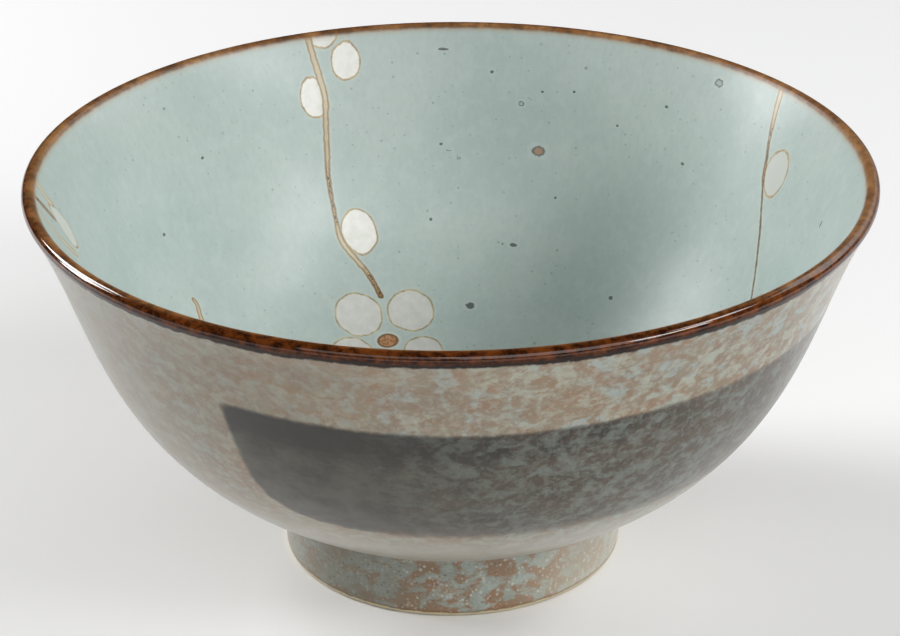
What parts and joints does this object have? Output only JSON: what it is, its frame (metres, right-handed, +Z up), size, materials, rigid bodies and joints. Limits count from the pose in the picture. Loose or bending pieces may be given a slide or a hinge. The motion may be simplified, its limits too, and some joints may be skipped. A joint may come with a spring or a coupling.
{
  "type": "glazed stoneware bowl",
  "caption": "Deep footed stoneware bowl for rice or noodles, with a thin rounded lip, a turned foot ring, and painted plum branches in the pale glaze inside.",
  "frame": {"origin": "centre of the foot ring's underside, on the table", "axes": "+Z up along the axis the bowl was turned about; -Y is the side seen in the picture"},
  "size_m": [0.15, 0.15, 0.074],
  "materials": {
    "glaze": "glossy grey-green glaze inside with painted branches, brown mottled glaze outside with a brushed dark band, brown lip"
  },
  "bodies": {
    "root": {"bowl": "glaze"}
  },
  "joints": []
}
